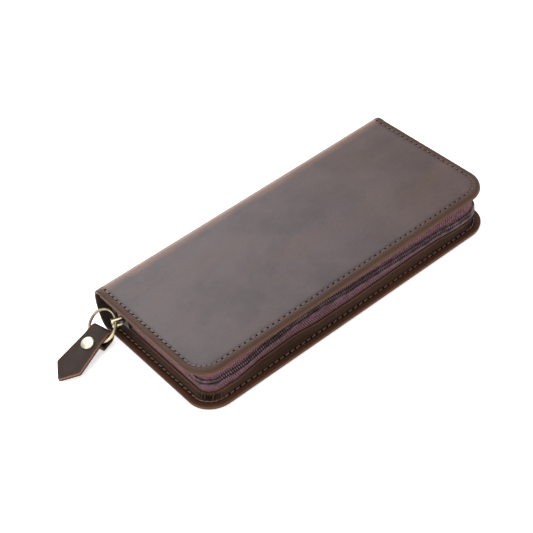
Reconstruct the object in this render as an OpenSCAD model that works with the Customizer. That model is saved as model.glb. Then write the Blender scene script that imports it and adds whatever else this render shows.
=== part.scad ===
// A flat leather case that zips round three sides and folds open along the
// fourth.  The frame's origin is the middle of the face that it lies on: +X runs
// along the case, -Y faces the zip's long side, +Y faces the spine, +Z is up.

/* [Case] */
// Length of the closed case, end to end
case_len = 200; // [160:1:250]
// Width of the closed case, from the zip side to the spine
case_wid = 93; // [78:1:120]
// Height of the closed case
case_hgt = 29; // [27:0.5:38]
// Radius of the cover's two corners on the zip side
corner_r = 15; // [12:0.5:20]
// Outer radius of the cover where it bends into the spine
bend_r = 6; // [4:0.5:7]

/* [Leather and lining] */
// Thickness of the cover leather
cover_t = 1.8; // [1.4:0.1:2.2]
// Thickness of the gusset strip leather
strip_t = 1.1; // [0.9:0.1:1.3]
// From the cover's edge to the outside of the upright part of the gusset strip
wall_inset = 6; // [5.5:0.1:8]
// Height of the upright part's edge above the face that the case lies on
wall_top = 6.8; // [5.5:0.1:7.5]
// From the cover's edge to the middle of the seam
seam_inset = 3.9; // [3:0.1:4.5]
// Width of the sewing thread
thread_w = 0.8; // [0.5:0.1:1]
// Depth that the thread is pulled into the leather
thread_d = 0.4; // [0.3:0.05:0.6]
// Thickness of the lining
lining_t = 0.6; // [0.4:0.1:1]
// Thickness of the slip pocket's panel, with the room behind it
pocket_t = 1.6; // [1.4:0.1:2]
// Depth of the slip pocket, from the zip side to its mouth
pocket_wid = 52; // [35:1:58]

/* [Zip] */
// Thickness of the zip tape
tape_t = 0.8; // [0.5:0.1:1]
// How far the tape runs down behind the gusset strip
tape_lap = 3.2; // [2:0.1:3.6]
// Height of each half of the coil chain
coil_w = 2; // [1.8:0.1:2.4]
// Thickness of the coil chain
coil_t = 1.5; // [1.2:0.1:1.7]
// Gap between the two halves, where the slider's wedge passes
coil_gap = 1.2; // [1:0.1:1.4]
// From the spine to the ends of the zip
zip_end = 9; // [8.5:0.5:12]
// Length of the stops at the zip's ends
stop_len = 3; // [2:0.5:4]

/* [Slider and puller] */
// From the spine to the middle of the slider
slider_back = 17.8; // [17.5:0.1:30]
// Length of the slider
slider_len = 9.6; // [8.5:0.1:11]
// Width of the slider at its front
slider_w = 9.2; // [8.6:0.1:10]
// Thickness of the slider's two plates
plate_t = 1.1; // [0.9:0.1:1.2]
// Room between the slider and the chain
slider_clr = 0.25; // [0.2:0.05:0.3]
// Diameter of the puller link's wire
link_d = 1.1; // [0.9:0.1:1.2]
// Thickness of the slider's bail
bail_t = 0.9; // [0.7:0.1:1.1]
// Width of the bail, across the zip
bail_w = 1.8; // [1.4:0.1:2]
// Turn of the puller link towards the spine
link_turn = 20; // [10:1:30]

/* [Ring and tab] */
// Diameter of the ring's wire
ring_wire = 1.8; // [1.6:0.1:2]
// Radius of the ring to the middle of its wire
ring_r = 9; // [8.9:0.1:9.2]
// Slope of the ring below level
ring_tilt = 38; // [37:1:39]
// Thickness of the tab's leather, which is folded double
tab_t = 1.3; // [1.1:0.1:1.4]
// Length of the folded tab
tab_len = 37.5; // [34:0.5:48]
// Width of the tab at its fold
tab_wid = 12; // [10:0.5:13]
// Width of the tab at the shoulders of its point
tab_shoulder = 16; // [14:0.5:18]
// From the fold to the middle of the rivet
rivet_at = 13; // [12.6:0.1:15]
// Length of the tab's point, beyond its shoulders
point_len = 8.6; // [6:0.1:11]
// Diameter of the rivet's domed cap
cap_d = 7.4; // [6.5:0.1:8.5]
// Height of the rivet's domed cap
cap_h = 1.5; // [1:0.1:2]

/* [Hidden] */
$fn = 64;

case_l = case_len / 2;
case_w = case_wid / 2;
mid_z = case_hgt / 2;
body_back = case_w - bend_r;
bend_clr = 1;
strip_back = body_back - bend_clr;
fold_gap = 0.3;
chain_gap = 0.5;

// Insets from the cover's edge, counted inwards
wall_in = wall_inset + strip_t;
tape_in = wall_in + tape_t;
coil_out = wall_in - coil_t;
lining_clr = 0.3;
lining_inset = tape_in + lining_clr;

zip_back = case_w - zip_end;
lid_zip_back = zip_back - chain_gap;
coil_low = mid_z - coil_gap / 2 - coil_w;
tape_top = mid_z - coil_gap / 2;
tape_low = wall_top - tape_lap;

// The slider rides on the zip's straight run across the left end
slider_y = case_w - slider_back;
slider_tail = slider_y - slider_len / 2;
slider_tail_w = slider_w - 1;
plate_out = coil_out - slider_clr - plate_t;
inner_plate = tape_in + slider_clr;
rail_z = coil_gap / 2 + coil_w + slider_clr;
wedge_clr = 0.25;
wedge_t = coil_gap - 2 * wedge_clr;
closed_end = slider_tail - chain_gap;

// The link's inner bar turns under the bail, its outer end holds the ring
pin_clr = 0.25;
bail_in_r = link_d / 2 + pin_clr;
bail_out_r = bail_in_r + bail_t;
plate_clr = 0.15;
ring_clr = 0.5;
hook_clr = 0.35;
side_clr = 0.6;
link_x = -case_l + plate_out - link_d / 2 - plate_clr;
// The ring passes through the link just inside the case's end, clear of the spine
ring_in = 0.64;
ring_at = max(bail_out_r + ring_clr + ring_wire / 2,
              (link_x + case_l - ring_in) / cos(link_turn));
link_reach = ring_at + ring_wire / 2 + hook_clr + link_d;
link_half = bail_w / 2 + side_clr;

// The ring leans out and down from the link
ring_heading = 184;
ring_grip = 130;
tab_turn = 193.2;
tab_slope = 11.4;
tab_roll = -0.8;
// Place of the tab's fold, seen from the ring's middle
tab_from_ring = [0.39, -0.32, 0.46];
// Room for the ring's curve inside the loop
loop_room = 3.2;
loop_h = 2 * tab_t + ring_wire + loop_room;
loop_r = loop_h / 2;
loop_len = 9.3;
shoulder_at = tab_len - point_len;
rivet_back_r = 1.9;
rivet_hole_r = 1.2;
strap_t = 2 * tab_t;

leather = [0.27, 0.19, 0.16];
dark_leather = [0.17, 0.11, 0.09];
plum = [0.30, 0.17, 0.20];
aged_brass = [0.72, 0.66, 0.48];

// Outline of the case's plan at an inset from its edge, square at the spine side
module plan(inset, back) {
    translate([-case_l + inset, -case_w + corner_r])
        square([2 * (case_l - inset), back + case_w - corner_r]);
    translate([-case_l + corner_r, -case_w + inset])
        square([2 * (case_l - corner_r), corner_r - inset + 1]);
    for (side = [-1, 1])
        translate([side * (case_l - corner_r), -case_w + corner_r])
            circle(r = corner_r - inset);
}

// A strip that follows the case's two ends and front, open at the spine side
module band(inset, width, back) {
    difference() {
        plan(inset, back);
        plan(inset + width, back + 1);
    }
}

// Turns a lower piece over into the matching piece of the lid
module turned_over() {
    translate([0, 0, case_hgt]) mirror([0, 0, 1]) children();
}

// The half of a bend's arc that belongs to the flat panel
module panel_arc() {
    translate([body_back, bend_r]) intersection() {
        difference() {
            circle(r = bend_r);
            circle(r = bend_r - cover_t);
        }
        polygon([[0, -fold_gap], [2 * bend_r, -2 * bend_r - fold_gap],
                 [0, -2 * bend_r - fold_gap]]);
    }
}

// The half of a bend's arc that belongs to the spine
module spine_arc() {
    translate([body_back, bend_r]) intersection() {
        difference() {
            circle(r = bend_r);
            circle(r = bend_r - cover_t);
        }
        polygon([[0, 0], [2 * bend_r, -2 * bend_r], [2 * bend_r, 0]]);
    }
}

// Carries a section drawn across the case along its whole length
module along_case(length) {
    translate([-length / 2, 0, 0]) rotate([90, 0, 90])
        linear_extrude(length) children();
}

module seam_run(z) {
    translate([0, 0, z]) linear_extrude(thread_d)
        band(seam_inset - thread_w / 2, thread_w, strip_back);
}

module panel() {
    difference() {
        linear_extrude(cover_t) plan(0, body_back);
        seam_run(0);
    }
    along_case(case_len) panel_arc();
}

module strip() {
    difference() {
        translate([0, 0, cover_t]) linear_extrude(strip_t)
            band(0, wall_in, strip_back);
        seam_run(cover_t + strip_t - thread_d);
    }
    translate([0, 0, cover_t]) linear_extrude(wall_top - cover_t)
        band(wall_inset, strip_t, strip_back);
}

module seam() {
    seam_run(0);
    seam_run(cover_t + strip_t - thread_d);
}

module cover_bottom() { color(leather) panel(); }

module cover_top() { color(leather) turned_over() panel(); }

module cover_spine() {
    color(leather) along_case(case_len) {
        spine_arc();
        translate([0, case_hgt]) mirror([0, 1]) spine_arc();
        translate([case_w - cover_t, bend_r]) square([cover_t, case_hgt - 2 * bend_r]);
    }
}

module gusset_strip_lower() { color(dark_leather) strip(); }

module gusset_strip_upper() { color(dark_leather) turned_over() strip(); }

module half_tape(back) {
    translate([0, 0, tape_low]) linear_extrude(tape_top - tape_low)
        band(wall_in, tape_t, back);
}

module zip_tape_lower() { color(plum) half_tape(zip_back); }

// Keeps only the stretch of the upper half that is closed behind the slider
module closed_stretch() {
    difference() {
        children();
        translate([-2 * case_l, closed_end, -1])
            cube([2 * case_l, case_wid, case_hgt + 2]);
    }
}

module zip_tape_upper() { color(plum) closed_stretch() turned_over() half_tape(lid_zip_back); }

module half_coil(back) {
    translate([0, 0, coil_low]) linear_extrude(coil_w) band(coil_out, coil_t, back);
}

module zip_coil_lower() { color(plum) half_coil(zip_back); }

module zip_coil_upper() { color(plum) closed_stretch() turned_over() half_coil(lid_zip_back); }

module seam_thread_lower() { color("saddlebrown") seam(); }

module seam_thread_upper() { color("saddlebrown") turned_over() seam(); }

module lining_sheet() {
    translate([0, 0, cover_t]) linear_extrude(lining_t)
        plan(lining_inset, strip_back);
}

module lining_lower() { color("dimgray") lining_sheet(); }

module lining_upper() { color("dimgray") turned_over() lining_sheet(); }

module lining_spine() {
    color("dimgray") along_case(case_len - 2 * lining_inset)
        translate([case_w - cover_t - lining_t, bend_r + bend_clr])
            square([lining_t, case_hgt - 2 * (bend_r + bend_clr)]);
}

// A panel sewn to the lid's lining on three sides, open towards the spine
module slip_pocket() {
    rim = 4;
    gap = 0.5;
    top = case_hgt - cover_t - lining_t;
    inset = lining_inset + 0.5;
    mouth = -case_w + pocket_wid;
    color(dark_leather) translate([0, 0, top - pocket_t]) difference() {
        linear_extrude(pocket_t) plan(inset, mouth);
        translate([0, 0, pocket_t - gap]) linear_extrude(gap)
            plan(inset + rim, mouth + 1);
    }
}

// The box that clamps both halves together at the right end
module zip_bottom_stop() {
    clamp_t = 0.6;
    color(aged_brass) translate([case_l - tape_in - clamp_t, zip_back, coil_low])
        cube([tape_t + coil_t + 2 * clamp_t, stop_len, 2 * coil_w + coil_gap]);
}

// The small clip on the lower half where the slider comes to rest
module zip_top_stop() {
    clamp_t = 0.5;
    color(aged_brass)
        translate([-case_l + coil_out - clamp_t, zip_back, coil_low])
            cube([coil_t + tape_t + 2 * clamp_t, stop_len, coil_w]);
}

// Shield-shaped outline of a slider plate, in the slider's own frame
module slider_outline() {
    front = slider_len / 2;
    nose = 2.2;
    polygon([[front, -slider_w / 2 + nose], [front, slider_w / 2 - nose],
             [front - nose, slider_w / 2], [0, slider_w / 2],
             [-front, slider_tail_w / 2], [-front, -slider_tail_w / 2],
             [0, -slider_w / 2], [front - nose, -slider_w / 2]]);
}

// A plate across the left end: its outline lies in the plane of the zip
module slider_layer(inset, thick) {
    translate([-case_l + inset, slider_y, mid_z]) rotate([90, 0, 90])
        linear_extrude(thick) children();
}

module slider_body() {
    rail_depth = coil_t - slider_clr / 2;
    color([0.35, 0.34, 0.34]) {
        slider_layer(plate_out, plate_t) slider_outline();
        slider_layer(plate_out + plate_t, rail_depth) intersection() {
            slider_outline();
            for (side = [-1, 1])
                translate([-slider_len / 2, side * (rail_z + 1) - 1])
                    square([slider_len, 2]);
        }
        slider_layer(inner_plate, plate_t) slider_outline();
        slider_layer(plate_out + plate_t, inner_plate - plate_out - plate_t)
            translate([0.8, -wedge_t / 2])
                square([slider_len / 2 - 1.6, wedge_t]);
    }
}

// A half ring on two feet, which the link's inner bar turns under
module slider_bail() {
    foot = link_x + case_l - plate_out;
    color(aged_brass)
        translate([link_x, slider_y, mid_z - bail_w / 2]) linear_extrude(bail_w) {
            intersection() {
                difference() {
                    circle(r = bail_out_r);
                    circle(r = bail_in_r);
                }
                translate([-4, -4]) square([4, 8]);
            }
            for (side = [-1, 1])
                translate([0, side * (bail_in_r + bail_t / 2) - bail_t / 2])
                    square([-foot, bail_t]);
        }
}

// A flat closed link: the bail and the ring share its one opening
module puller_link() {
    side_t = 1.2;
    height = 2 * (link_half + side_t);
    color(aged_brass) translate([link_x, slider_y, mid_z])
        rotate([0, 0, 180 - link_turn]) {
            translate([0, 0, -height / 2]) cylinder(d = link_d, h = height);
            for (side = [-1, 1])
                translate([0, -link_d / 2, side * (link_half + side_t / 2) - side_t / 2])
                    cube([link_reach, link_d, side_t]);
            translate([link_reach - link_d, -link_d / 2, -height / 2])
                cube([link_d, link_d, height]);
        }
}

// The point where the ring passes through the link
function link_hold() = [
    link_x - ring_at * cos(link_turn),
    slider_y + ring_at * sin(link_turn),
    mid_z];

// Turns the ring's own frame: +X runs down its slope, +Z stands off its plane
module in_ring() {
    translate(link_hold()) rotate([0, ring_tilt, ring_heading])
        translate([-ring_r * cos(ring_grip), -ring_r * sin(ring_grip), 0]) children();
}

module pull_ring() {
    color(aged_brass) in_ring() rotate_extrude($fn = 96)
        translate([ring_r, 0]) circle(d = ring_wire);
}

// Turns the tab's own frame: +X runs from the fold to the point, +Z is its face
module in_tab() {
    translate(tab_fold()) rotate([0, 0, tab_turn]) rotate([0, tab_slope, 0])
        rotate([tab_roll, 0, 0]) children();
}

// Middle of the ring in the case's frame
function ring_mid() = let (
    c = cos(ring_tilt), s = sin(ring_tilt),
    h = ring_heading, g = ring_grip,
    along = -ring_r * cos(g), across = -ring_r * sin(g))
    link_hold() + [along * c * cos(h) - across * sin(h),
                   along * c * sin(h) + across * cos(h),
                   -along * s];

function tab_fold() = ring_mid() + tab_from_ring;

// Carries a side view of the strap across its whole width
module across_tab() {
    translate([0, tab_shoulder, 0]) rotate([90, 0, 0])
        linear_extrude(2 * tab_shoulder) children();
}

// Side view: a loop round the ring, then two layers together
module folded_strap() {
    difference() {
        union() {
            across_tab() translate([loop_r, -loop_r]) circle(r = loop_r);
            across_tab()
                polygon([[loop_r, 0], [tab_len, 0], [tab_len, -strap_t],
                         [loop_len + 1.8, -strap_t], [loop_len + 0.3, -loop_h],
                         [loop_r, -loop_h]]);
        }
        across_tab() translate([loop_r, -loop_r]) circle(r = loop_r - tab_t);
        across_tab()
            polygon([[loop_r, -tab_t], [loop_len + 1.1, -tab_t],
                     [loop_len - 0.2, -loop_h + tab_t], [loop_r, -loop_h + tab_t]]);
    }
}

// Face view of the strap: it widens to its shoulders and ends in a point
module tab_face() {
    polygon([[-1, -tab_wid / 2], [loop_len, -tab_wid / 2],
             [shoulder_at, -tab_shoulder / 2], [tab_len, 0],
             [shoulder_at, tab_shoulder / 2], [loop_len, tab_wid / 2],
             [-1, tab_wid / 2]]);
}

module pull_tab() {
    color(dark_leather) in_tab() difference() {
        intersection() {
            folded_strap();
            translate([0, 0, -2 * loop_h]) linear_extrude(3 * loop_h) tab_face();
        }
        translate([rivet_at, 0, -strap_t - 1]) cylinder(r = rivet_hole_r, h = strap_t + 2);
    }
}

// A dome with a short flat skirt, hollow underneath where the post's head sits
module rivet_cap() {
    skirt = 0.4;
    rise = cap_h - skirt;
    dome_r = (cap_d * cap_d / 4 + rise * rise) / (2 * rise);
    color(aged_brass) in_tab() translate([rivet_at, 0, 0]) {
        cylinder(d = cap_d, h = skirt);
        translate([0, 0, skirt]) intersection() {
            translate([0, 0, rise - dome_r]) sphere(r = dome_r);
            cylinder(d = cap_d, h = rise + 1);
        }
    }
}

// The post goes through both layers and is spread over a disc underneath
module rivet_post() {
    color(aged_brass) in_tab() translate([rivet_at, 0, -strap_t]) {
        cylinder(r = rivet_hole_r, h = strap_t);
        translate([0, 0, -0.6]) cylinder(r = rivet_back_r, h = 0.6);
    }
}

cover_bottom();
cover_spine();
cover_top();
gusset_strip_lower();
gusset_strip_upper();
zip_tape_lower();
zip_tape_upper();
zip_coil_lower();
zip_coil_upper();
seam_thread_lower();
seam_thread_upper();
lining_lower();
lining_spine();
lining_upper();
slip_pocket();
zip_bottom_stop();
zip_top_stop();
slider_body();
slider_bail();
puller_link();
pull_ring();
pull_tab();
rivet_cap();
rivet_post();
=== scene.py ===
import math

import bmesh
import bpy
from mathutils import Matrix, Vector


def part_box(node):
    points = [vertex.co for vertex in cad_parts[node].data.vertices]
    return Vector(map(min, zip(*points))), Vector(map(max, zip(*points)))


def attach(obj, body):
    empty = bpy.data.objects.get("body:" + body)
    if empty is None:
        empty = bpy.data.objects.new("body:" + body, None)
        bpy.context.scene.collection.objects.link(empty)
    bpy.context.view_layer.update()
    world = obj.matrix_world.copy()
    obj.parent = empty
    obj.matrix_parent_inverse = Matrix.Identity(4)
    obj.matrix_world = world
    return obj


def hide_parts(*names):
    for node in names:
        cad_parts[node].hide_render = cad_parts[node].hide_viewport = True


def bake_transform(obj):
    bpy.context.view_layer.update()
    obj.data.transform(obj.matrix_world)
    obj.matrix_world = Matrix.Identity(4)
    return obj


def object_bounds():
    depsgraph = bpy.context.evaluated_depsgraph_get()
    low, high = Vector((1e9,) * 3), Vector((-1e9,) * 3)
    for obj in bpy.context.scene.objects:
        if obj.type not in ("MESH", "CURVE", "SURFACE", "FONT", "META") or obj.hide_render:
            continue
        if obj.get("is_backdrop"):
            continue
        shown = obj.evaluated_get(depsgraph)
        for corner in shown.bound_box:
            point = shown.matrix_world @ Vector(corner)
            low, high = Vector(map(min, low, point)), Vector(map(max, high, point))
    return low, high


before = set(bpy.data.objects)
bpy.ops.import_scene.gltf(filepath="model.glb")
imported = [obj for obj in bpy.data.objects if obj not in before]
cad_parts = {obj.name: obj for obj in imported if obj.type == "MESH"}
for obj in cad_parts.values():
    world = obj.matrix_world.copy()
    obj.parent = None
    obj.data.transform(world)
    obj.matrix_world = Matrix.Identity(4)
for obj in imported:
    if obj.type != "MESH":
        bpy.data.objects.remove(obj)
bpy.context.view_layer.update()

# --- Cover ---------------------------------------------------------------
# One sheet of waxed pull-up leather makes the bottom, the spine and the lid.
# It is built as two halves that meet in the middle of the spine, each folded
# over its own side of the spine.  Its cut edges are rounded and burnished.

MM = 0.001
case_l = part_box("cover_bottom")[1].x
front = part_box("cover_bottom")[0].y
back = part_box("cover_spine")[1].y
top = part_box("cover_top")[1].z
mid = top / 2
cover_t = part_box("gusset_strip_lower")[0].z
strip_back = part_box("gusset_strip_lower")[1].y
corner_r = 15 * MM
bend_r = 6 * MM
bend_y = back - bend_r
spine_bow = 1.3 * MM
seam_inset = 3.9 * MM
stitch_pitch = 3.6 * MM
groove_depth = 0.34 * MM
dome_drop = 0.42 * MM
roll = 1.3 * MM
side_run = strip_back - front - corner_r
corner_run = corner_r * math.pi / 2
front_run = 2 * (case_l - corner_r)
rim_run = 2 * side_run + 2 * corner_run + front_run
RIM_LINES = [0, 1.6, 2.2, 2.8, 3.4, 3.9, 4.4, 5, 5.8, 7, 8.5, 10, 11.5, 13.2, 15]


def evenly(start, end, step):
    """Values from start to end, about one step apart, both ends included."""
    count = max(1, round(abs(end - start) / step))
    return [start + (end - start) * i / count for i in range(count + 1)]


def smooth(t):
    t = min(1, max(0, t))
    return t * t * (3 - 2 * t)


def rim_point(run, inset):
    """Place on the case's outline at a run from the left end's spine side."""
    left, turned = side_run, side_run + corner_run
    right, straight = turned + front_run, turned + front_run + corner_run
    reach = corner_r - inset
    cx, cy = case_l - corner_r, front + corner_r
    if run < left:
        return -case_l + inset, strip_back - run
    if run < turned:
        a = (run - left) / corner_r
        return -cx - reach * math.cos(a), cy - reach * math.sin(a)
    if run < right:
        return -cx + run - turned, front + inset
    if run < straight:
        a = (run - right) / corner_r
        return cx + reach * math.sin(a), cy - reach * math.cos(a)
    return case_l - inset, cy + run - straight


def in_corner(x, y):
    """Share of the corner's square that x and y reach into."""
    return (abs(x) - case_l + corner_r) / corner_r, (front + corner_r - y) / corner_r


def rounded(x, y):
    """Bends the square corner of a plan's lines into an arc."""
    p, q = in_corner(x, y)
    if p <= 0 or q <= 0:
        return x, y
    a = math.pi / 4 * q / p if p >= q else math.pi / 2 - math.pi / 4 * p / q
    r = corner_r * max(p, q)
    side = math.copysign(1, x)
    return side * (case_l - corner_r + r * math.cos(a)), front + corner_r - r * math.sin(a)


def rim_place(x, y):
    """(run, inset) of a place on the rounded plan."""
    p, q = in_corner(x, y)
    if p > 0 and q > 0:
        inset = corner_r * (1 - math.hypot(p, q))
        run = side_run + corner_r * math.atan2(q, p)
    elif case_l - abs(x) < y - front:
        inset, run = case_l - abs(x), strip_back - y
    else:
        return side_run + corner_run + x + case_l - corner_r, y - front
    return (run if x < 0 else rim_run - run), inset


def plan_grid(inset, ys):
    """A sheet of faces over the plan, with its lines following the rim."""
    near = [inset + line * MM for line in RIM_LINES if inset + line * MM <= corner_r]
    near = sorted(set(near + [corner_r]))
    xs = [-case_l + n for n in near] + evenly(corner_r - case_l, case_l - corner_r, 4 * MM)[1:-1]
    xs += [case_l - n for n in reversed(near)]
    ys = [front + n for n in near] + [y for y in ys if y > front + corner_r + 1e-6]
    bm = bmesh.new()
    bmesh.ops.create_grid(bm, x_segments=len(xs) - 1, y_segments=len(ys) - 1, size=0.5)
    cut = bm.verts.layers.float_vector.new("cut")
    run = bm.verts.layers.float.new("run")
    for v in bm.verts:
        x = xs[round((v.co.x + 0.5) * (len(xs) - 1))]
        y = ys[round((v.co.y + 0.5) * (len(ys) - 1))]
        x, y = rounded(x, y)
        along, inwards = rim_place(x, y)
        v.co = (x, y, 0)
        v[cut] = (x / MM, y / MM, inwards / MM)
        v[run] = along / MM
    return bm, cut, run


def piece(bm, name, *materials, sharp=38):
    """Puts a finished mesh in the scene under its name."""
    for e in bm.edges:
        e.smooth = len(e.link_faces) == 2 and e.calc_face_angle(0) < math.radians(sharp)
    for f in bm.faces:
        f.smooth = True
    mesh = bpy.data.meshes.new(name)
    bm.to_mesh(mesh)
    bm.free()
    for m in materials:
        mesh.materials.append(m)
    made = bpy.data.objects.new(name, mesh)
    bpy.context.scene.collection.objects.link(made)
    return made


def stands_for(made, body, slot, *nodes):
    """The piece rides on its body and hides the plain solids that it stands for."""
    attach(made, body)
    if nodes:
        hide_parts(*nodes)
    return made


def put(tree, kind, sockets=(), **settings):
    """Adds a node, with its settings, and fills or links its sockets."""
    made = tree.nodes.new("ShaderNode" + kind)
    for key, value in settings.items():
        setattr(made, key, value)
    for key, value in dict(sockets).items():
        if isinstance(value, bpy.types.NodeSocket):
            tree.links.new(value, made.inputs[key])
        else:
            made.inputs[key].default_value = value
    return made


def maths(tree, operation, *values):
    return put(tree, "Math", enumerate(values), operation=operation).outputs[0]


def ramp(tree, value, low, high):
    """0 below low and 1 above high, eased between them."""
    made = put(tree, "MapRange", {"Value": value, "From Min": low, "From Max": high},
               interpolation_type="SMOOTHSTEP")
    return made.outputs["Result"]


def mixed(tree, share, first, second):
    """Colour between two colours, each a value or a socket."""
    made = put(tree, "Mix", {0: share}, data_type="RGBA")
    for index, colour in ((6, first), (7, second)):
        if isinstance(colour, bpy.types.NodeSocket):
            tree.links.new(colour, made.inputs[index])
        else:
            made.inputs[index].default_value = (*colour, 1)
    return made.outputs[2]


def noise(tree, vector, scale, detail=3.0, rough=0.55):
    made = put(tree, "TexNoise", {"Vector": vector, "Scale": scale, "Detail": detail,
                                  "Roughness": rough})
    return made.outputs["Fac"]


def bumped(tree, height, distance, strength=1.0, normal=None):
    sockets = {"Height": height, "Distance": distance, "Strength": strength}
    if normal is not None:
        sockets["Normal"] = normal
    return put(tree, "Bump", sockets).outputs["Normal"]


def new_material(name):
    """(material, its tree, its shader), with only the shader and the output in it."""
    made = bpy.data.materials.new(name)
    made.use_nodes = True
    tree = made.node_tree
    return made, tree, tree.nodes["Principled BSDF"]


def fill(tree, shader, **sockets):
    """Sets or links the shader's sockets, named with _ for a space."""
    for key, value in sockets.items():
        socket = shader.inputs[key.replace("_", " ")]
        if isinstance(value, bpy.types.NodeSocket):
            tree.links.new(value, socket)
        else:
            socket.default_value = value


def attribute(tree, name):
    return put(tree, "Attribute", attribute_name=name)


def leather(name, dark, mid_tone, warm, rough=0.42, warmth=0.5, rim=1.0, holes=True, sheen=0.12,
            spec=0.5, cloud=0.028, groove_shade=0.0):
    """Waxed leather: cool where it is flat, warm where it is pulled or rubbed; the fold is
    lightened with painted highlight, partly the real pull-up of bent leather, and painted shade
    darkens a band inside the rim, the needle holes and the seam's groove.

    It reads the cut vector, in millimetres, whose last value is the way in from the rim.
    """
    made, tree, shader = new_material(name)
    cut = attribute(tree, "cut").outputs["Vector"]
    inset = put(tree, "SeparateXYZ", {0: cut}).outputs["Z"]
    plane = put(tree, "VectorMath", {0: cut, 1: (1, 1, 0)}, operation="MULTIPLY").outputs[0]
    cloudy = noise(tree, plane, cloud, 4, 0.6)
    streaky = noise(tree, put(tree, "Mapping", {"Vector": plane, "Scale": (0.25, 1, 1),
                                                "Rotation": (0, 0, 0.5)}).outputs[0], 0.05, 5, 0.6)
    fine = noise(tree, plane, 0.9, 5, 0.7)
    # Clouds, long pulled streaks, and a warmer tone towards the right end
    colour = mixed(tree, ramp(tree, cloudy, 0.3, 0.7), dark, mid_tone)
    pulled = maths(tree, "MULTIPLY", ramp(tree, streaky, 0.42, 0.8), warmth)
    colour = mixed(tree, pulled, colour, warm)
    across, along = put(tree, "SeparateXYZ", {0: cut}).outputs[0:2]
    warmer_along_x = maths(tree, "MULTIPLY", ramp(tree, across, -30.0, 90.0), 0.45 * warmth)
    colour = mixed(tree, warmer_along_x, colour, warm)
    # Painted highlight along the fold, partly the real lightening of bent pull-up leather; painted
    # shade in a band inside the rolled rim; and its rubbed edge
    bend = ramp(tree, maths(tree, "ADD", along, maths(tree, "MULTIPLY", cloudy, 5.0)),
                bend_y / MM - 2.0, bend_y / MM + 4.5)
    colour = mixed(tree, maths(tree, "MULTIPLY", bend, 0.75 * rim), colour,
                   (2.3 * warm[0], 2.2 * warm[1], 2.3 * warm[2]))
    # Painted shade: a darker warm band inside the rolled rim
    edge = maths(tree, "ADD", inset, maths(tree, "MULTIPLY", streaky, 2.6))
    edge = maths(tree, "SUBTRACT", 1.0, ramp(tree, edge, 3.6, 7.0))
    colour = mixed(tree, maths(tree, "MULTIPLY", edge, 0.8 * rim), colour,
                   tuple(0.5 * c for c in warm))
    dull = maths(tree, "MULTIPLY", edge, 0.75 * rim)
    worn = maths(tree, "ADD", inset, maths(tree, "MULTIPLY", fine, -3.0))
    worn = maths(tree, "SUBTRACT", 1.0, ramp(tree, worn, -3.0, 2.6))
    patchy = maths(tree, "ADD", 0.45, maths(tree, "MULTIPLY", cloudy, 1.0))
    worn = maths(tree, "MULTIPLY", maths(tree, "MULTIPLY", worn, rim), patchy)
    colour = mixed(tree, worn, colour, warm)
    # Specks, pores and a slow unevenness
    speck = maths(tree, "MULTIPLY", ramp(tree, fine, 0.42, 0.7), 0.22)
    colour = mixed(tree, speck, colour, tuple(0.45 * c for c in dark))
    grain = put(tree, "TexVoronoi", {"Vector": plane, "Scale": 1.5, "Randomness": 1.0},
                feature="DISTANCE_TO_EDGE").outputs["Distance"]
    grain = maths(tree, "ADD", maths(tree, "MULTIPLY", ramp(tree, grain, 0.0, 0.25), 0.5), fine)
    normal = bumped(tree, grain, 0.05 * MM, 0.55)
    wave = noise(tree, plane, 0.12, 3, 0.5)
    normal = bumped(tree, wave, 0.8 * MM, 0.25, normal)
    # Needle holes along the seam, painted near black as shade, and painted shade in the seam's
    # groove
    if holes:
        pitch = stitch_pitch / MM
        run = attribute(tree, "run").outputs["Fac"]
        step = maths(tree, "PINGPONG", run, pitch / 2)
        off = maths(tree, "SUBTRACT", inset, seam_inset / MM)
        gap = maths(tree, "SQRT", maths(tree, "ADD", maths(tree, "POWER", step, 2.0),
                                        maths(tree, "POWER", off, 2.0)))
        pierced = maths(tree, "SUBTRACT", 1.0, ramp(tree, gap, 0.35, 0.8))
        # Painted shade: the needle holes near black
        colour = mixed(tree, pierced, colour, (0.004, 0.002, 0.002))
        normal = bumped(tree, pierced, -0.5 * MM, 0.9, normal)
        dull = maths(tree, "MAXIMUM", dull, pierced)
        # Painted shade in the seam's groove
        sunk = maths(tree, "ADD", maths(tree, "ABSOLUTE", off), maths(tree, "MULTIPLY", fine, 1.6))
        sunk = maths(tree, "SUBTRACT", 1.0, ramp(tree, sunk, 0.9, 2.3))
        colour = mixed(tree, maths(tree, "MULTIPLY", sunk, groove_shade), colour, (0.006, 0.004, 0.003))
    gloss = maths(tree, "MULTIPLY", maths(tree, "SUBTRACT", 1.0, dull), spec)
    shine = maths(tree, "ADD", rough - 0.07, maths(tree, "MULTIPLY", cloudy, 0.16))
    shine = maths(tree, "ADD", shine, maths(tree, "MULTIPLY", fine, 0.08))
    fill(tree, shader, Base_Color=colour, Roughness=shine, Normal=normal,
         Specular_IOR_Level=gloss, Sheen_Weight=sheen, Sheen_Roughness=0.45,
         Sheen_Tint=(0.8, 0.8, 0.85, 1.0))
    return made


def fold_place(s):
    """(y, z) on the outside of the lower half, s being the way over the flat sheet."""
    over = s - bend_y
    if over <= 0:
        return s, 0.0
    arc = bend_r * math.pi / 2
    if over < arc:
        a = over / bend_r
        y, z = bend_y + bend_r * math.sin(a), bend_r * (1 - math.cos(a))
    else:
        y, z = back, bend_r + over - arc
    bowed = 1 - ((z - mid) / mid) ** 2
    return y + spine_bow * bowed * smooth(z / (2 * bend_r)), z


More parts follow.
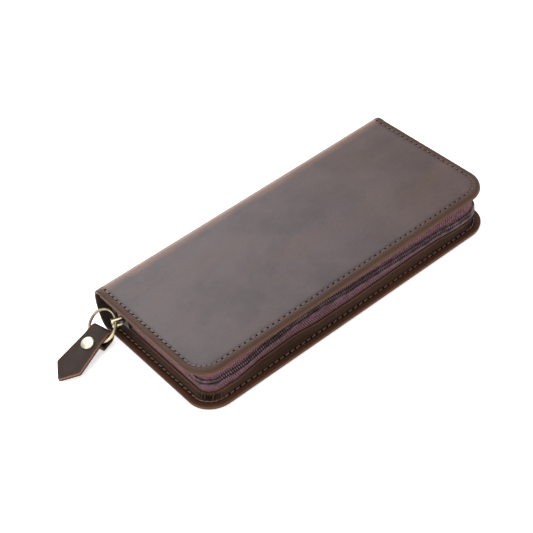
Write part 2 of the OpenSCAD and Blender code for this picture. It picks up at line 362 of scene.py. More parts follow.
def cover_half():
    """The outer face as a sheet, folded, given its thickness and a rounded rim."""
    arc_end = bend_y + bend_r * math.pi / 2
    ys = evenly(front + corner_r, bend_y, 4 * MM)[1:] + evenly(bend_y, arc_end, 0.8 * MM)[1:]
    ys += evenly(arc_end, arc_end + mid - bend_r, 1.4 * MM)[1:]
    bm, cut, run = plan_grid(0, ys)
    for v in bm.verts:
        s = v.co.y
        y, z = fold_place(s)
        inset = v[cut].z * MM
        sewn = smooth((strip_back - s) / (3 * MM))
        groove = groove_depth * sewn * smooth(1 - abs(inset - seam_inset) / (1.7 * MM))
        dome = dome_drop * sewn * smooth(1 - inset / (2.4 * MM))
        v.co = (v.co.x, y, z + groove + dome)
    bmesh.ops.reverse_faces(bm, faces=bm.faces)
    bm.normal_update()
    shown = set(bm.verts)
    bmesh.ops.solidify(bm, geom=bm.faces[:], thickness=cover_t)
    bm.normal_update()
    for f in bm.faces:
        f.material_index = 0 if any(v in shown for v in f.verts) else 1
    on_join = mid - 0.2 * MM
    rim = [e for e in bm.edges if e.calc_face_angle(0) > 1 and
           min(v.co.z for v in e.verts) < on_join]
    outside = [e for e in rim if all(v in shown for v in e.verts)]
    inside = [e for e in rim if not any(v in shown for v in e.verts)]
    for edges, offset, segments in ((outside, roll, 6), (inside, 0.3 * MM, 2)):
        bmesh.ops.bevel(bm, geom=edges, offset=offset, offset_type="OFFSET", segments=segments,
                        profile=0.5, affect="EDGES", material=-1, clamp_overlap=True)
    for v in bm.verts:
        v.co.z = max(0, v.co.z)
    return bm


def turn_over(bm):
    """Makes a lower piece the matching upper one."""
    for v in bm.verts:
        v.co.z = top - v.co.z
    bmesh.ops.reverse_faces(bm, faces=bm.faces)
    return bm


cover_leather = leather("cover_leather", dark=(0.042, 0.027, 0.030), mid_tone=(0.078, 0.053, 0.056),
                        warm=(0.100, 0.050, 0.030), rough=0.4, warmth=0.5, rim=0.95)
cover_inside = leather("cover_inside", dark=(0.014, 0.009, 0.007), mid_tone=(0.026, 0.016, 0.012),
                       warm=(0.045, 0.026, 0.018), rough=0.7, warmth=0.3, rim=0.3, holes=False,
                       sheen=0.0)
lower_cover = piece(cover_half(), "cover_lower_half", cover_leather, cover_inside)
upper_cover = piece(turn_over(cover_half()), "cover_upper_half", cover_leather, cover_inside)
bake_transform(lower_cover)
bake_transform(upper_cover)
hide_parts("cover_bottom", "cover_spine")
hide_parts("cover_top", "cover_spine")

# --- Gusset strips -------------------------------------------------------
# Each is a strip of thinner, darker leather folded to an L and sewn round
# three sides of a panel.  The upright part holds the zip.  It bows in and out
# along the front and is gathered into small pleats at the two corners.

strip_t = 1.1 * MM
flange_z = cover_t + strip_t
wall_inset = 6 * MM
wall_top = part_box("gusset_strip_lower")[1].z
pleat_pitch = 2.3
pleat_fold = 0.75 * MM
pleat_rise = 0.6 * MM
# Bows are in millimetres, inwards, and the sag is upwards, each at its run
FRONT_START = side_run + corner_run + case_l - corner_r
WALL_BOW = [(0, 0), (side_run, 0), (side_run + 0.5 * corner_run, -0.3),
            (FRONT_START - 76 * MM, -0.8), (FRONT_START - 56 * MM, 1.3),
            (FRONT_START - 38 * MM, 1.8), (FRONT_START - 18 * MM, 0.2), (FRONT_START, 0.1),
            (FRONT_START + 62 * MM, 0.6), (FRONT_START + 78 * MM, -0.8),
            (rim_run - side_run - 0.4 * corner_run, -1.1), (rim_run - side_run, -0.4),
            (rim_run - 0.5 * side_run, 0), (rim_run, 0)]
CHAIN_BOW = [(0, 0), (side_run, 0), (side_run + 0.5 * corner_run, -0.4),
             (FRONT_START - 85 * MM, -0.9), (FRONT_START - 73 * MM, -1.5),
             (FRONT_START - 50 * MM, 0.6), (FRONT_START - 36 * MM, 1.5),
             (FRONT_START - 17 * MM, 1.4), (FRONT_START + 2 * MM, -0.2),
             (FRONT_START + 35 * MM, -1.0), (FRONT_START + 61 * MM, -1.6),
             (FRONT_START + 76 * MM, -3.2), (rim_run - side_run - 0.5 * corner_run, -2.4),
             (rim_run - side_run, -0.9), (rim_run - 0.5 * side_run, 0), (rim_run, 0)]
CHAIN_SAG = [(0, 0), (side_run, 0), (side_run + corner_run, -0.5),
             (FRONT_START - 70 * MM, -0.6), (FRONT_START - 38 * MM, 0), (FRONT_START, 0),
             (FRONT_START + 61 * MM, -1.2), (rim_run - side_run - 0.5 * corner_run, -1.4),
             (rim_run - side_run, -0.8), (rim_run - 0.4 * side_run, 0), (rim_run, 0)]


def eased(places, run):
    """Value at a run, eased between the places of a table in millimetres."""
    for (a, low), (b, high) in zip(places, places[1:]):
        if run <= b:
            return (low + (high - low) * smooth((run - a) / (b - a))) * MM
    return 0


def gathered(run):
    """1 in the middle of either corner and 0 away from it."""
    from_left = run - side_run - corner_run / 2
    from_right = from_left - corner_run - front_run
    near = min(abs(from_left), abs(from_right))
    return smooth(1 - near / (0.75 * corner_run))


def pleat(run):
    wave = run / MM / pleat_pitch * 2 * math.pi
    return gathered(run) * (math.sin(wave + 0.9 * math.sin(0.31 * wave)) - 0.2)


def strip_section(run):
    """(inset, height, raw) round the strip, from the flange's lower outer edge.

    Raw is 1 on a cut edge and goes below 0 in the tuck of a pleat, which paints shade there.
    """
    wall = wall_inset + eased(WALL_BOW, run)
    fold = pleat(run) * pleat_fold
    rise = pleat(run) * pleat_rise
    # Below 0 in a tuck, where it paints shade
    deep = min(0, pleat(run))
    edge = wall_top + 0.12 * MM * math.sin(run / MM * 0.9)
    return [(0.3 * MM, cover_t, 1), (0.03 * MM, cover_t + 0.3 * MM, 1),
            (0.03 * MM, flange_z - 0.35 * MM, 1), (0.3 * MM, flange_z - 0.03 * MM, 0.4),
            (1.2 * MM, flange_z, 0), (2.6 * MM, flange_z + 0.3 * rise, 0),
            (3.3 * MM, flange_z - 0.12 * MM, 0), (3.9 * MM, flange_z - groove_depth, 0),
            (4.4 * MM, flange_z - 0.08 * MM + 0.5 * rise, 0),
            (wall - 0.8 * MM, flange_z + 0.2 * MM + rise, deep),
            (wall - 0.2 * MM + fold * 0.5, flange_z + 0.6 * MM + rise, deep),
            (wall + fold, flange_z + 1.4 * MM, deep), (wall + fold, flange_z + 2.4 * MM, deep),
            (wall + 0.8 * fold, edge - 0.25 * MM, 0.5), (wall + 0.15 * MM + 0.6 * fold, edge, 1),
            (wall + strip_t - 0.15 * MM, edge, 1), (wall + strip_t, edge - 0.2 * MM, 0.6),
            (wall + strip_t, flange_z + 1.5 * MM, 0), (wall + strip_t, cover_t + 0.7 * MM, 0),
            (wall + 0.5 * MM, cover_t + 0.65 * MM, 0), (wall - 0.6 * MM, cover_t, 0)]


def swept(section, runs):
    """A closed section carried along the rim, with its two ends closed."""
    sections = [section(run) for run in runs]
    count = len(sections[0])
    bm = bmesh.new()
    bmesh.ops.create_grid(bm, x_segments=len(runs) - 1, y_segments=count, size=0.5)
    cut = bm.verts.layers.float_vector.new("cut")
    along = bm.verts.layers.float.new("run")
    raw_edge_and_shade = bm.verts.layers.float.new("raw_edge_and_shade")
    for v in bm.verts:
        i = round((v.co.x + 0.5) * (len(runs) - 1))
        j = round((v.co.y + 0.5) * count) % count
        inset, z, raw_and_shade = sections[i][j]
        x, y = rim_point(runs[i], inset)
        v.co = (x, y, z)
        v[cut] = (runs[i] / MM, z / MM + 0.6 * inset / MM, inset / MM)
        v[along] = runs[i] / MM
        v[raw_edge_and_shade] = raw_and_shade
    bmesh.ops.remove_doubles(bm, verts=bm.verts, dist=1e-7)
    bmesh.ops.holes_fill(bm, edges=[e for e in bm.edges if e.is_boundary])
    bmesh.ops.recalc_face_normals(bm, faces=bm.faces)
    return bm


def rim_steps(start, end):
    """Runs from start to end, close together in the corners."""
    found, run = [start], start
    while run < end - 1e-6:
        run += (0.38 if gathered(run) > 0 else 2.0) * MM
        found.append(min(run, end))
    return found


def raw_edged_tuck_shaded(made, raw_colour):
    """Shows the pale inside of the leather on a cut edge, and paints shade near black in the tucks
    of its pleats.
    """
    tree = made.node_tree
    shader = tree.nodes["Principled BSDF"]
    raw_edge_and_shade = attribute(tree, "raw_edge_and_shade").outputs["Fac"]
    fibres = noise(tree, attribute(tree, "cut").outputs["Vector"], 1.6, 4, 0.7)
    share = maths(tree, "MULTIPLY", ramp(tree, raw_edge_and_shade, 0.35, 0.9),
                  maths(tree, "ADD", 0.35, maths(tree, "MULTIPLY", fibres, 0.9)))
    colour = mixed(tree, share, shader.inputs["Base Color"].links[0].from_socket, raw_colour)
    # Painted shade, near black, in the tucks of the pleats
    tucked = ramp(tree, maths(tree, "MULTIPLY", raw_edge_and_shade, -1.0), 0.1, 0.6)
    tree.links.new(mixed(tree, tucked, colour, (0.005, 0.003, 0.002)), shader.inputs["Base Color"])
    return made


strip_leather = raw_edged_tuck_shaded(
    leather("strip_leather", dark=(0.018, 0.010, 0.007), mid_tone=(0.038, 0.021, 0.014),
            warm=(0.140, 0.058, 0.030), rough=0.46, warmth=0.8, rim=0.7, sheen=0.0, spec=0.3,
            cloud=0.13, groove_shade=0.85),
    (0.150, 0.068, 0.036))
for body, name, over in (("base", "gusset_strip_lower", False),
                         ("lid", "gusset_strip_upper", True)):
    bm = swept(strip_section, rim_steps(0, rim_run))
    made = piece(turn_over(bm) if over else bm, name + "_leather", strip_leather, sharp=55)
    stands_for(made, body, "strip_leather", name)

# --- Zip tapes -----------------------------------------------------------
# Two plum polyester tapes, woven with a slanting rib, sewn behind the gusset
# strips.  Both are cut square where they end near the spine.

tape_t = 0.8 * MM
tape_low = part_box("zip_tape_lower")[0].z
tape_lip = 0.42 * MM
coil_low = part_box("zip_coil_lower")[0].z
zip_start = strip_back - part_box("zip_tape_lower")[1].y
closed_y = 23.4 * MM
closed_start = strip_back - closed_y


def hung(run, inset, z, over=False):
    """Carries a place on the straight tape to where the bowed tape has it."""
    rise = z - tape_low
    share = smooth((rise - 2.4 * MM) / (6 * MM))
    bow = (1 - share) * eased(WALL_BOW, run) + share * eased(CHAIN_BOW, run)
    sag = share * eased(CHAIN_SAG, run)
    return inset + bow, z - sag if over else z + sag


def tape_section(run, over=False):
    """(inset, height, raw) round the lower tape, raw being 1 behind the coil, where it paints
    shade.
    """
    inner = wall_inset + strip_t + 0.05 * MM
    high = mid - tape_lip
    front_face = [(inner, tape_low + (high - 0.3 * MM - tape_low) * i / 8) for i in range(9)]
    rear_face = [(y + tape_t, z) for y, z in reversed(front_face)]
    lip = [(inner + 0.15 * MM, high), (inner + tape_t - 0.15 * MM, high)]
    return [(*hung(run, y, z, over), 1 if z > coil_low else 0)
            for y, z in front_face + lip + rear_face]


def woven(name, dark, light, rib, slant, rough=0.75):
    """Tape with fine slanting ribs, in a thread of two tones, painted in shade behind the coil."""
    made, tree, shader = new_material(name)
    cut = attribute(tree, "cut").outputs["Vector"]
    run, height = put(tree, "SeparateXYZ", {0: cut}).outputs[0:2]
    lean = maths(tree, "ADD", run, maths(tree, "MULTIPLY", height, slant))
    phase = maths(tree, "MULTIPLY", lean, 2 * math.pi / rib)
    rows = maths(tree, "MULTIPLY", height, 2 * math.pi / 0.62)
    twill = maths(tree, "ADD", maths(tree, "SINE", phase),
                  maths(tree, "MULTIPLY", maths(tree, "SINE", rows), 0.45))
    loose = noise(tree, cut, 0.9, 5, 0.75)
    tone = maths(tree, "ADD", maths(tree, "MULTIPLY", twill, 0.24),
                 maths(tree, "ADD", -0.3, maths(tree, "MULTIPLY", loose, 1.6)))
    colour = mixed(tree, ramp(tree, tone, 0.15, 0.85), dark, light)
    # Painted shade on the tape behind the coil, near black
    shaded = maths(tree, "MULTIPLY", attribute(tree, "raw_edge_and_shade").outputs["Fac"], 0.85)
    colour = mixed(tree, shaded, colour, (0.006, 0.003, 0.004))
    fill(tree, shader, Base_Color=colour, Roughness=rough, Specular_IOR_Level=0.3,
         Normal=bumped(tree, twill, 0.10 * MM, 0.9), Sheen_Weight=0.15, Sheen_Roughness=0.5,
         Sheen_Tint=(0.9, 0.6, 0.68, 1.0))
    return made


tape_cloth = woven("zip_tape", dark=(0.040, 0.013, 0.020), light=(0.265, 0.116, 0.140), rib=1.3,
                   slant=0.45)
for body, name, over, start in (("base", "zip_tape_lower", False, zip_start),
                                ("lid", "zip_tape_upper", True, closed_start)):
    end = rim_run - zip_start - (0.5 * MM if over else 0)
    bm = swept(lambda run: tape_section(run, over), rim_steps(start, end))
    made = piece(turn_over(bm) if over else bm, name + "_cloth", tape_cloth, sharp=60)
    stands_for(made, body, "zip_tape", name)

# --- Zip coils -----------------------------------------------------------
# Each half of the chain is one nylon thread wound into close turns and sewn
# to the edge of its tape.  Each turn shows as a rounded bar, and a row of lock
# stitches shows along the tape side.

tooth_pitch = 1.3 * MM
tooth_wide = 0.7 * MM
coil_t = 1.5 * MM
tooth_lean = 0.2
lock_lean = 0.35
slider_reach = strip_back + 30 * MM


def many(bm, shape, places):
    """Adds a copy of a small closed shape at each place, given as a matrix."""
    mesh = bpy.data.meshes.new("one")
    shape.to_mesh(mesh)
    shape.free()
    for place in places:
        mesh.transform(place)
        bm.from_mesh(mesh)
        mesh.transform(place.inverted())
    bpy.data.meshes.remove(mesh)
    return bm


def rim_frame(run, inset, z):
    """Matrix with X along the rim, Y inwards and Z up."""
    x, y = rim_point(run, inset)
    ax, ay = rim_point(run + 0.05 * MM, inset)
    bx, by = rim_point(run - 0.05 * MM, inset)
    ahead = Vector((ax - bx, ay - by, 0)).normalized()
    inwards = Vector((-ahead.y, ahead.x, 0))
    turn = Matrix((ahead, inwards, Vector((0, 0, 1)))).transposed()
    return Matrix.Translation((x, y, z)) @ turn.to_4x4()


def bead(length, width, height, around=8, rings=5):
    """A small closed rounded shape, long in X."""
    bm = bmesh.new()
    bmesh.ops.create_uvsphere(bm, u_segments=around, v_segments=rings, radius=0.5)
    bmesh.ops.rotate(bm, verts=bm.verts, matrix=Matrix.Rotation(math.pi / 2, 3, "Y"))
    for v in bm.verts:
        v.co.x = math.copysign(abs(2 * v.co.x) ** 0.7 / 2, v.co.x)
    bmesh.ops.scale(bm, verts=bm.verts, vec=(length, width, height))
    return bm


def coil_places(start, end, shift, over):
    """Places of the turns of the lower half, from start to end of the run."""
    found, count = [], round((end - start) / tooth_pitch)
    for i in range(count):
        run = start + (i + 0.5 + shift) * tooth_pitch
        if run > end - tooth_wide / 2:
            continue
        low, high = coil_low + 0.25 * MM, mid - (0.24 * MM if run > slider_reach else tape_lip)
        tall = high - low
        inset, z = hung(run, wall_inset + strip_t - coil_t / 2 - 0.05 * MM, (low + high) / 2, over)
        place = rim_frame(run, inset, z)
        lean = Matrix.Rotation(tooth_lean, 4, "Y")
        found.append(place @ lean @ Matrix.Rotation(-math.pi / 2, 4, "Y") @
                     Matrix.Diagonal((tall, 1, 1, 1)))
    return found


def nylon(name, dark, light, rough):
    """Smooth nylon, a little uneven in its dye."""
    made, tree, shader = new_material(name)
    place = put(tree, "TexCoord").outputs["Object"]
    cloudy = noise(tree, place, 260.0, 3, 0.6)
    colour = mixed(tree, ramp(tree, cloudy, 0.35, 0.65), dark, light)
    fill(tree, shader, Base_Color=colour, Specular_IOR_Level=0.6,
         Roughness=maths(tree, "ADD", rough, maths(tree, "MULTIPLY", cloudy, 0.12)),
         Normal=bumped(tree, noise(tree, place, 2200.0, 2, 0.5), 0.03 * MM, 0.5))
    return made


coil_nylon = nylon("zip_coil", (0.085, 0.045, 0.055), (0.240, 0.150, 0.170), 0.34)
chain_thread = nylon("chain_thread", (0.22, 0.12, 0.14), (0.46, 0.30, 0.33), 0.45)
for body, name, over, start in (("base", "zip_coil_lower", False, zip_start),
                                ("lid", "zip_coil_upper", True, closed_start)):
    end = rim_run - zip_start - (0.5 * MM if over else 0)
    phase = ((start - zip_start) / tooth_pitch + (0.5 if over else 0)) % 1
    bm = many(bmesh.new(), bead(1.0, coil_t, tooth_wide), coil_places(start, end, 1 - phase, over))
    made = piece(turn_over(bm) if over else bm, name + "_teeth", coil_nylon)
    stands_for(made, body, "zip_coil", name)
    locks = []
    run = start + tooth_pitch
    while run < end - tooth_pitch:
        inset, z = hung(run, wall_inset + strip_t - 0.15 * MM, coil_low + 0.12 * MM, over)
        locks.append(rim_frame(run, inset, z) @ Matrix.Rotation(lock_lean, 4, "Y"))
        run += tooth_pitch
    bm = many(bmesh.new(), bead(0.85 * MM, 0.4 * MM, 0.4 * MM, 6, 4), locks)
    made = piece(turn_over(bm) if over else bm, name.replace("coil", "chain_thread"), chain_thread)
    stands_for(made, body, "zip_coil")

# --- Seam threads --------------------------------------------------------
# A waxed thread is lock-stitched through the cover and the strip's flange.
# Each stitch lies in the seam's groove and dips into a needle hole at its ends.

stitch_long = 2.9 * MM
stitch_wide = 0.72 * MM
stitch_high = 0.42 * MM
stitch_slant = 0.14


def stitch_places(z):
    """Places of the stitches along one face of the seam."""
    found, run = [], stitch_pitch / 2
    turned = Matrix.Rotation(stitch_slant, 4, "Z")
    while run < rim_run - stitch_pitch / 2:
        found.append(rim_frame(run, seam_inset, z) @ turned)
        run += stitch_pitch
    return found


def twisted(name, dark, light, rough):
    """Thread with the fine slanting lines of its twist."""
    made, tree, shader = new_material(name)
    place = put(tree, "TexCoord").outputs["Object"]
    twist = put(tree, "TexWave", {"Vector": place, "Scale": 900.0, "Distortion": 2.0,
                                  "Detail": 1.0}, bands_direction="DIAGONAL").outputs["Fac"]
    cloudy = noise(tree, place, 180.0, 3, 0.6)
    colour = mixed(tree, maths(tree, "MULTIPLY", twist, cloudy), dark, light)
    fill(tree, shader, Base_Color=colour, Roughness=rough, Specular_IOR_Level=0.6,
         Normal=bumped(tree, twist, 0.05 * MM, 0.6))
    return made


cover_thread = twisted("cover_thread", (0.055, 0.027, 0.019), (0.240, 0.125, 0.088), 0.36)
# The flange's copy of the same thread is lighter, a painted highlight for its glints
flange_thread = twisted("flange_thread", (0.140, 0.075, 0.052), (0.620, 0.380, 0.280), 0.36)
for body, name, over in (("base", "seam_thread_lower", False), ("lid", "seam_thread_upper", True)):
    for face, thread, z in (("outside", cover_thread, groove_depth - 0.1 * MM),
                            ("flange", flange_thread, flange_z - groove_depth + 0.25 * MM)):
        bm = many(bmesh.new(), bead(stitch_long, stitch_wide, stitch_high), stitch_places(z))
        made = piece(turn_over(bm) if over else bm, name + "_" + face, thread)
        stands_for(made, body, "thread", name)

# --- Linings and slip pocket ---------------------------------------------
# A thin woven lining is glued inside both panels and the spine.  On the lid
# it carries one slip pocket of the strip's leather, open towards the spine.

lining_t = 0.6 * MM
lining_inset = 8.2 * MM
pocket_inset = 10.2 * MM
pocket_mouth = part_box("slip_pocket")[1].y
pocket_t = 1.4 * MM


def flat_panel(inset, edge_y, thick):
    """A thin panel with the case's plan, its underside at height 0."""
    bm, cut, run = plan_grid(inset, evenly(front + corner_r, edge_y, 4 * MM))
    bmesh.ops.translate(bm, verts=bm.verts, vec=(0, 0, thick))
    for v in bm.verts:
        v[cut] = (v[cut].x, v[cut].y, v[cut].z - inset / MM)
    bmesh.ops.solidify(bm, geom=bm.faces[:], thickness=thick)
    bm.normal_update()
    rim = [e for e in bm.edges if e.calc_face_angle(0) > 1]
    bmesh.ops.bevel(bm, geom=rim, offset=0.2 * MM, offset_type="OFFSET", segments=2,
                    profile=0.5, affect="EDGES", material=-1, clamp_overlap=True)
    return bm


def lining_material():
    """Plain-woven dark brown cloth."""
    made, tree, shader = new_material("lining_cloth")
    cut = put(tree, "TexCoord").outputs["Object"]
    x, y = put(tree, "SeparateXYZ", {0: cut}).outputs[0:2]
    warp = maths(tree, "SINE", maths(tree, "MULTIPLY", x, 2 * math.pi / (0.7 * MM)))
    weft = maths(tree, "SINE", maths(tree, "MULTIPLY", y, 2 * math.pi / (0.7 * MM)))
    weave = maths(tree, "MULTIPLY", warp, weft)
    loose = noise(tree, cut, 220.0, 4, 0.6)
    tone = maths(tree, "ADD", maths(tree, "MULTIPLY", weave, 0.3), loose)
    colour = mixed(tree, ramp(tree, tone, 0.2, 0.9), (0.040, 0.030, 0.025), (0.110, 0.085, 0.070))
    fill(tree, shader, Base_Color=colour, Roughness=0.85, Specular_IOR_Level=0.25,
         Normal=bumped(tree, weave, 0.08 * MM, 0.8))
    return made


lining_cloth = lining_material()
for body, name, over in (("base", "lining_lower", False), ("lid", "lining_upper", True)):
    bm = flat_panel(lining_inset, strip_back, lining_t)
    bmesh.ops.translate(bm, verts=bm.verts, vec=(0, 0, cover_t))
    made = piece(turn_over(bm) if over else bm, name + "_cloth", lining_cloth)
    stands_for(made, body, "lining", name)

low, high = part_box("lining_spine")
bm = bmesh.new()
bmesh.ops.create_grid(bm, x_segments=46, y_segments=10, size=0.5)
for v in bm.verts:
    v.co = (v.co.x * (high.x - low.x), high.y - lining_t, mid + v.co.y * (high.z - low.z))
bm.normal_update()
bmesh.ops.solidify(bm, geom=bm.faces[:], thickness=lining_t)
bm.normal_update()
spine_lining = piece(bm, "lining_spine_cloth", lining_cloth)
stands_for(spine_lining, "spine", "lining", "lining_spine")

bm = flat_panel(pocket_inset, pocket_mouth, pocket_t)
bmesh.ops.translate(bm, verts=bm.verts, vec=(0, 0, cover_t + lining_t))
pocket = piece(turn_over(bm), "slip_pocket_leather", strip_leather)
stands_for(pocket, "lid", "strip_leather", "slip_pocket")

# --- Slider, bail, link and stops ----------------------------------------
# The slider is a die-cast shell in dark gunmetal with a small bail on its
# face.  A flat closed link of bright brass turns under the bail.  A clamp at
# each end of the zip keeps the slider on.


def metal(name, base, patina, rough, share=0.5, scale=180.0):
    """Cast or drawn metal, darker where it has aged and brighter where it is rubbed."""
    made, tree, shader = new_material(name)
    place = put(tree, "TexCoord").outputs["Object"]
    aged = noise(tree, place, scale, 5, 0.65)
    fine = noise(tree, place, scale * 9, 3, 0.6)
    colour = mixed(tree, maths(tree, "MULTIPLY", ramp(tree, aged, 0.45, 0.7), share), base, patina)
    wear = maths(tree, "ADD", rough, maths(tree, "MULTIPLY", aged, 0.2))
    fill(tree, shader, Base_Color=colour, Metallic=1.0, Roughness=wear,
         Normal=bumped(tree, fine, 0.03 * MM, 0.4))
    return made


def rounded_metal(node, material, width):
    """Welds a metal part's faces, rounds its edges and gives it its finish."""
    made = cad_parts[node]
    weld = made.modifiers.new("weld", "WELD")
    weld.merge_threshold = 1e-6
    soft = made.modifiers.new("rounded", "BEVEL")
    soft.width, soft.segments = width, 2
    soft.limit_method, soft.angle_limit = "ANGLE", math.radians(40)
    soft.harden_normals = False
    made.data.materials.clear()
    made.data.materials.append(material)


gunmetal = metal("slider_gunmetal", (0.13, 0.11, 0.115), (0.045, 0.038, 0.040), 0.3)
bright_brass = metal("bright_brass", (0.86, 0.76, 0.50), (0.50, 0.40, 0.20), 0.20, 0.35)
rounded_metal("slider_body", gunmetal, 0.22 * MM)
rounded_metal("slider_bail", gunmetal, 0.12 * MM)
rounded_metal("puller_link", bright_brass, 0.16 * MM)
rounded_metal("zip_bottom_stop", gunmetal, 0.18 * MM)
rounded_metal("zip_top_stop", gunmetal, 0.15 * MM)

# --- Pull ring -----------------------------------------------------------
# A ring of aged brass wire, bent round with its ends butted together.  The
# joint is turned inside the tab's loop.

ring_mid = Vector((-104.392, 36.320, 10.938)) * MM
ring_r = 9 * MM
ring_wire = 1.8 * MM
ring_turn = Matrix.Rotation(math.radians(184), 4, "Z") @ Matrix.Rotation(math.radians(38), 4, "Y")
joint_gap = 0.02

bm = bmesh.new()
bmesh.ops.create_circle(bm, cap_ends=False, segments=14, radius=ring_wire / 2)
for v in bm.verts:
    v.co.x *= 0.86
bmesh.ops.rotate(bm, verts=bm.verts, matrix=Matrix.Rotation(math.pi / 2, 3, "X"))
bmesh.ops.translate(bm, verts=bm.verts, vec=(ring_r, 0, 0))
bmesh.ops.rotate(bm, verts=bm.verts, matrix=Matrix.Rotation(joint_gap / 2, 3, "Z"))
bmesh.ops.spin(bm, geom=bm.verts[:] + bm.edges[:], cent=(0, 0, 0), axis=(0, 0, 1),
               angle=2 * math.pi - joint_gap, steps=88, use_merge=False)
bmesh.ops.holes_fill(bm, edges=[e for e in bm.edges if e.is_boundary])
bmesh.ops.recalc_face_normals(bm, faces=bm.faces)
bmesh.ops.transform(bm, verts=bm.verts, matrix=Matrix.Translation(ring_mid) @ ring_turn)
aged_brass = metal("aged_brass", (0.66, 0.57, 0.37), (0.14, 0.115, 0.075), 0.24, 0.85, 110.0)
stands_for(piece(bm, "pull_ring_wire", aged_brass), "ring", "aged_brass", "pull_ring")

# --- Pull tab ------------------------------------------------------------
# A strap of very dark leather is passed through the ring, folded back on
# itself and riveted.  It widens to a point, and its cut edges are left raw.

tab_t = 1.2 * MM
tab_len = 37.5 * MM
loop_r = 3.8 * MM
loop_low = 8.8 * MM
under = -2 * tab_t - 0.02 * MM
TAB_WIDTHS = [(0, 12), (9.3, 12), (28.9, 16), (29.6, 15.4), (37.2, 0.9), (37.5, 0.15)]
tab_place = (Matrix.Translation(Vector((-104.002, 36.000, 11.398)) * MM) @
             Matrix.Rotation(math.radians(193.2), 4, "Z") @
             Matrix.Rotation(math.radians(11.4), 4, "Y") @
             Matrix.Rotation(math.radians(-0.8), 4, "X"))


def tab_line():
    """The strap's outer face from above its point, round the loop and back below."""
    line = [(tab_len - s, 0.0) for s in evenly(0, tab_len - loop_r, 1.1 * MM)]
    for a in evenly(0, math.pi, 0.16)[1:]:
        line.append((loop_r * (1 - math.sin(a)), loop_r * (math.cos(a) - 1)))
    for x in evenly(loop_r, loop_low, 1.2 * MM)[1:]:
        line.append((x, -2 * loop_r))
    lift, wide, tight = math.radians(80), 1.8 * MM, 0.6 * MM  # the climb back to the strap
    x, z = line[-1]
    for a in evenly(0, lift, 0.2)[1:]:
        line.append((x + wide * math.sin(a), z + wide * (1 - math.cos(a))))
    x, z = line[-1]
    rise = under - z - tight * (1 - math.cos(lift))
    for way in evenly(0, rise, 0.8 * MM)[1:]:
        line.append((x + way / math.tan(lift), z + way))
    x, z = line[-1]
    for a in evenly(lift, 0, 0.3)[1:]:
        line.append((x + tight * (math.sin(lift) - math.sin(a)),
                     z + tight * (math.cos(a) - math.cos(lift))))
    for x in evenly(line[-1][0], tab_len, 1.1 * MM)[1:]:
        line.append((x, under))
    return line


def tab_width(x):
    for (a, low), (b, high) in zip(TAB_WIDTHS, TAB_WIDTHS[1:]):
        if x <= b * MM:
            return (low + (high - low) * max(0, x / MM - a) / (b - a)) * MM
    return TAB_WIDTHS[-1][1] * MM


line = tab_line()
across = [-1, -0.94, -0.8, -0.5, -0.2, 0.2, 0.5, 0.8, 0.94, 1]
bm = bmesh.new()
bmesh.ops.create_grid(bm, x_segments=len(line) - 1, y_segments=len(across) - 1, size=0.5)
cut = bm.verts.layers.float_vector.new("cut")
raw_edge_and_shade = bm.verts.layers.float.new("raw_edge_and_shade")
for v in bm.verts:
    i = round((v.co.x + 0.5) * (len(line) - 1))
    w = across[round((v.co.y + 0.5) * (len(across) - 1))]
    x, z = line[i]
    half = tab_width(x) / 2
    end = min(i, len(line) - 1 - i)
    v.co = (x, w * half, z)
    v[cut] = (x / MM + (200 if 2 * i > len(line) else 0), w * half / MM, (1 - abs(w)) * half / MM)
    raw_and_shade = 1 if 2 * i < len(line) else 0.15
    v[raw_edge_and_shade] = raw_and_shade if abs(w) > 0.99 or end == 0 else 0
bmesh.ops.recalc_face_normals(bm, faces=bm.faces)
if max(bm.faces, key=lambda f: f.calc_center_median().z).normal.z < 0:
    bmesh.ops.reverse_faces(bm, faces=bm.faces)
bmesh.ops.solidify(bm, geom=bm.faces[:], thickness=tab_t)
bm.normal_update()
rim = [e for e in bm.edges if e.calc_face_angle(0) > 1]
bmesh.ops.bevel(bm, geom=rim, offset=0.2 * MM, offset_type="OFFSET", segments=2,
                profile=0.5, affect="EDGES", material=-1, clamp_overlap=True)
bmesh.ops.transform(bm, verts=bm.verts, matrix=tab_place)
tab_leather = raw_edged_tuck_shaded(
    leather("tab_leather", dark=(0.020, 0.011, 0.009), mid_tone=(0.034, 0.019, 0.015),
            warm=(0.066, 0.032, 0.021), rough=0.6, warmth=0.6, rim=0.3, holes=False, sheen=0.0,
            spec=0.3, cloud=0.09),
    (0.270, 0.125, 0.068))
stands_for(piece(bm, "pull_tab_strap", tab_leather, sharp=50), "tab", "tab_leather", "pull_tab")

# --- Rivet ---------------------------------------------------------------
# A double-cap rivet of pale aged brass holds the strap's two layers.  The
# domed cap is pressed on from above, and the post is spread underneath.

rivet_at = 13 * MM
cap_r = 3.7 * MM
cap_h = 1.5 * MM
cap_rim = 0.45 * MM
post_r = 1.2 * MM
foot_r = 1.9 * MM


def turned(profile, steps=40):
    """A round part from its half profile of (radius, height), top to bottom."""
    bm = bmesh.new()
    verts = [bm.verts.new((r, 0, z)) for r, z in profile]
    edges = [bm.edges.new(pair) for pair in zip(verts, verts[1:])]
    bmesh.ops.spin(bm, geom=verts + edges, cent=(0, 0, 0), axis=(0, 0, 1),
                   angle=2 * math.pi, steps=steps, use_merge=True)
    bmesh.ops.remove_doubles(bm, verts=bm.verts, dist=1e-6)
    bmesh.ops.recalc_face_normals(bm, faces=bm.faces)
    return bm


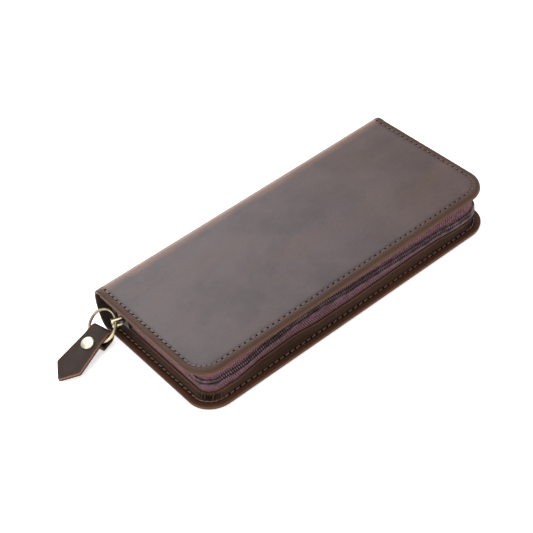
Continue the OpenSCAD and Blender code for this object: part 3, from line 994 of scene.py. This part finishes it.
dome = [(cap_r * math.sin(a), cap_rim + (cap_h - cap_rim) * math.cos(a))
        for a in evenly(0, math.pi / 2, 0.14)]
dome += [(cap_r, 0.2 * MM), (cap_r - 0.15 * MM, 0.02 * MM), (post_r, 0.02 * MM), (0, 0.02 * MM)]
bm = turned(dome)
bmesh.ops.transform(bm, verts=bm.verts,
                    matrix=tab_place @ Matrix.Translation((rivet_at, 0, 0)))
pale_brass = metal("pale_brass", (0.88, 0.82, 0.62), (0.62, 0.54, 0.34), 0.30, 0.6, 420.0)
stands_for(piece(bm, "rivet_cap_dome", pale_brass), "tab", "aged_brass", "rivet_cap")

foot = [(0, 0), (post_r, 0), (post_r, under), (foot_r - 0.1 * MM, under),
        (foot_r, under - 0.2 * MM), (foot_r - 0.25 * MM, under - 0.5 * MM),
        (0.7 * MM, under - 0.6 * MM), (0.4 * MM, under - 0.4 * MM), (0, under - 0.35 * MM)]
bm = turned(foot, 32)
bmesh.ops.transform(bm, verts=bm.verts,
                    matrix=tab_place @ Matrix.Translation((rivet_at, 0, 0)))
stands_for(piece(bm, "rivet_post_foot", aged_brass), "tab", "aged_brass", "rivet_post")

# --- Floor, light and camera ---------------------------------------------
# The case lies on a pale sweep under large soft lights.

floor_size = 60.0
floor_gap = 0.05 * MM
camera_at = (-0.303698, -0.433965, 0.500392)

scene = bpy.context.scene
scene.view_settings.view_transform = "Standard"
bm = bmesh.new()
bmesh.ops.create_grid(bm, x_segments=8, y_segments=8, size=floor_size)
bmesh.ops.translate(bm, verts=bm.verts, vec=(0, 0, -floor_gap))
floor_paper, tree, shader = new_material("floor_paper")
speckle = noise(tree, put(tree, "TexCoord").outputs["Object"], 40.0, 2, 0.5)
fill(tree, shader, Base_Color=mixed(tree, speckle, (0.93, 0.93, 0.93), (0.95, 0.95, 0.95)),
     Roughness=0.9, Specular_IOR_Level=0.1, Emission_Color=(1, 1, 1, 1), Emission_Strength=0.6)
piece(bm, "floor", floor_paper)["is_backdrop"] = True

world = bpy.data.worlds.new("studio")
world.use_nodes = True
world.node_tree.nodes["Background"].inputs["Color"].default_value = (1, 1, 1, 1)
world.node_tree.nodes["Background"].inputs["Strength"].default_value = 0.42
scene.world = world


def soft_light(name, place, size, power):
    lamp = bpy.data.lights.new(name, "AREA")
    lamp.shape, lamp.size, lamp.energy = "DISK", size, power
    made = bpy.data.objects.new(name, lamp)
    scene.collection.objects.link(made)
    made.location = place
    made.rotation_euler = (-Vector(place)).to_track_quat("-Z", "Y").to_euler()


soft_light("overhead", (-0.1, 0.05, 1.3), 1.0, 9.0)
soft_light("key", (0.1, 0.85, 0.95), 0.9, 5.0)
soft_light("fill", (-1.0, -0.3, 0.6), 0.7, 4.0)
soft_light("back", (0.45, 1.25, 0.42), 0.8, 6.0)

azimuth, elevation, roll = (math.radians(a) for a in (-33.08, 42.84, -9.05))
behind = Vector((math.sin(azimuth) * math.cos(elevation), -math.cos(azimuth) * math.cos(elevation),
                 math.sin(elevation)))
across_view = (-behind).cross(Vector((0, 0, 1))).normalized()
up_view = across_view.cross(-behind)
right = math.cos(roll) * across_view + math.sin(roll) * up_view
up = math.cos(roll) * up_view - math.sin(roll) * across_view
lens = bpy.data.cameras.new("camera")
lens.lens, lens.sensor_width = 90.46, 36
camera = bpy.data.objects.new("camera", lens)
scene.collection.objects.link(camera)
camera.matrix_world = (Matrix.Translation(camera_at) @
                       Matrix((right, up, behind)).transposed().to_4x4())
scene.camera = camera

low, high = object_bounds()
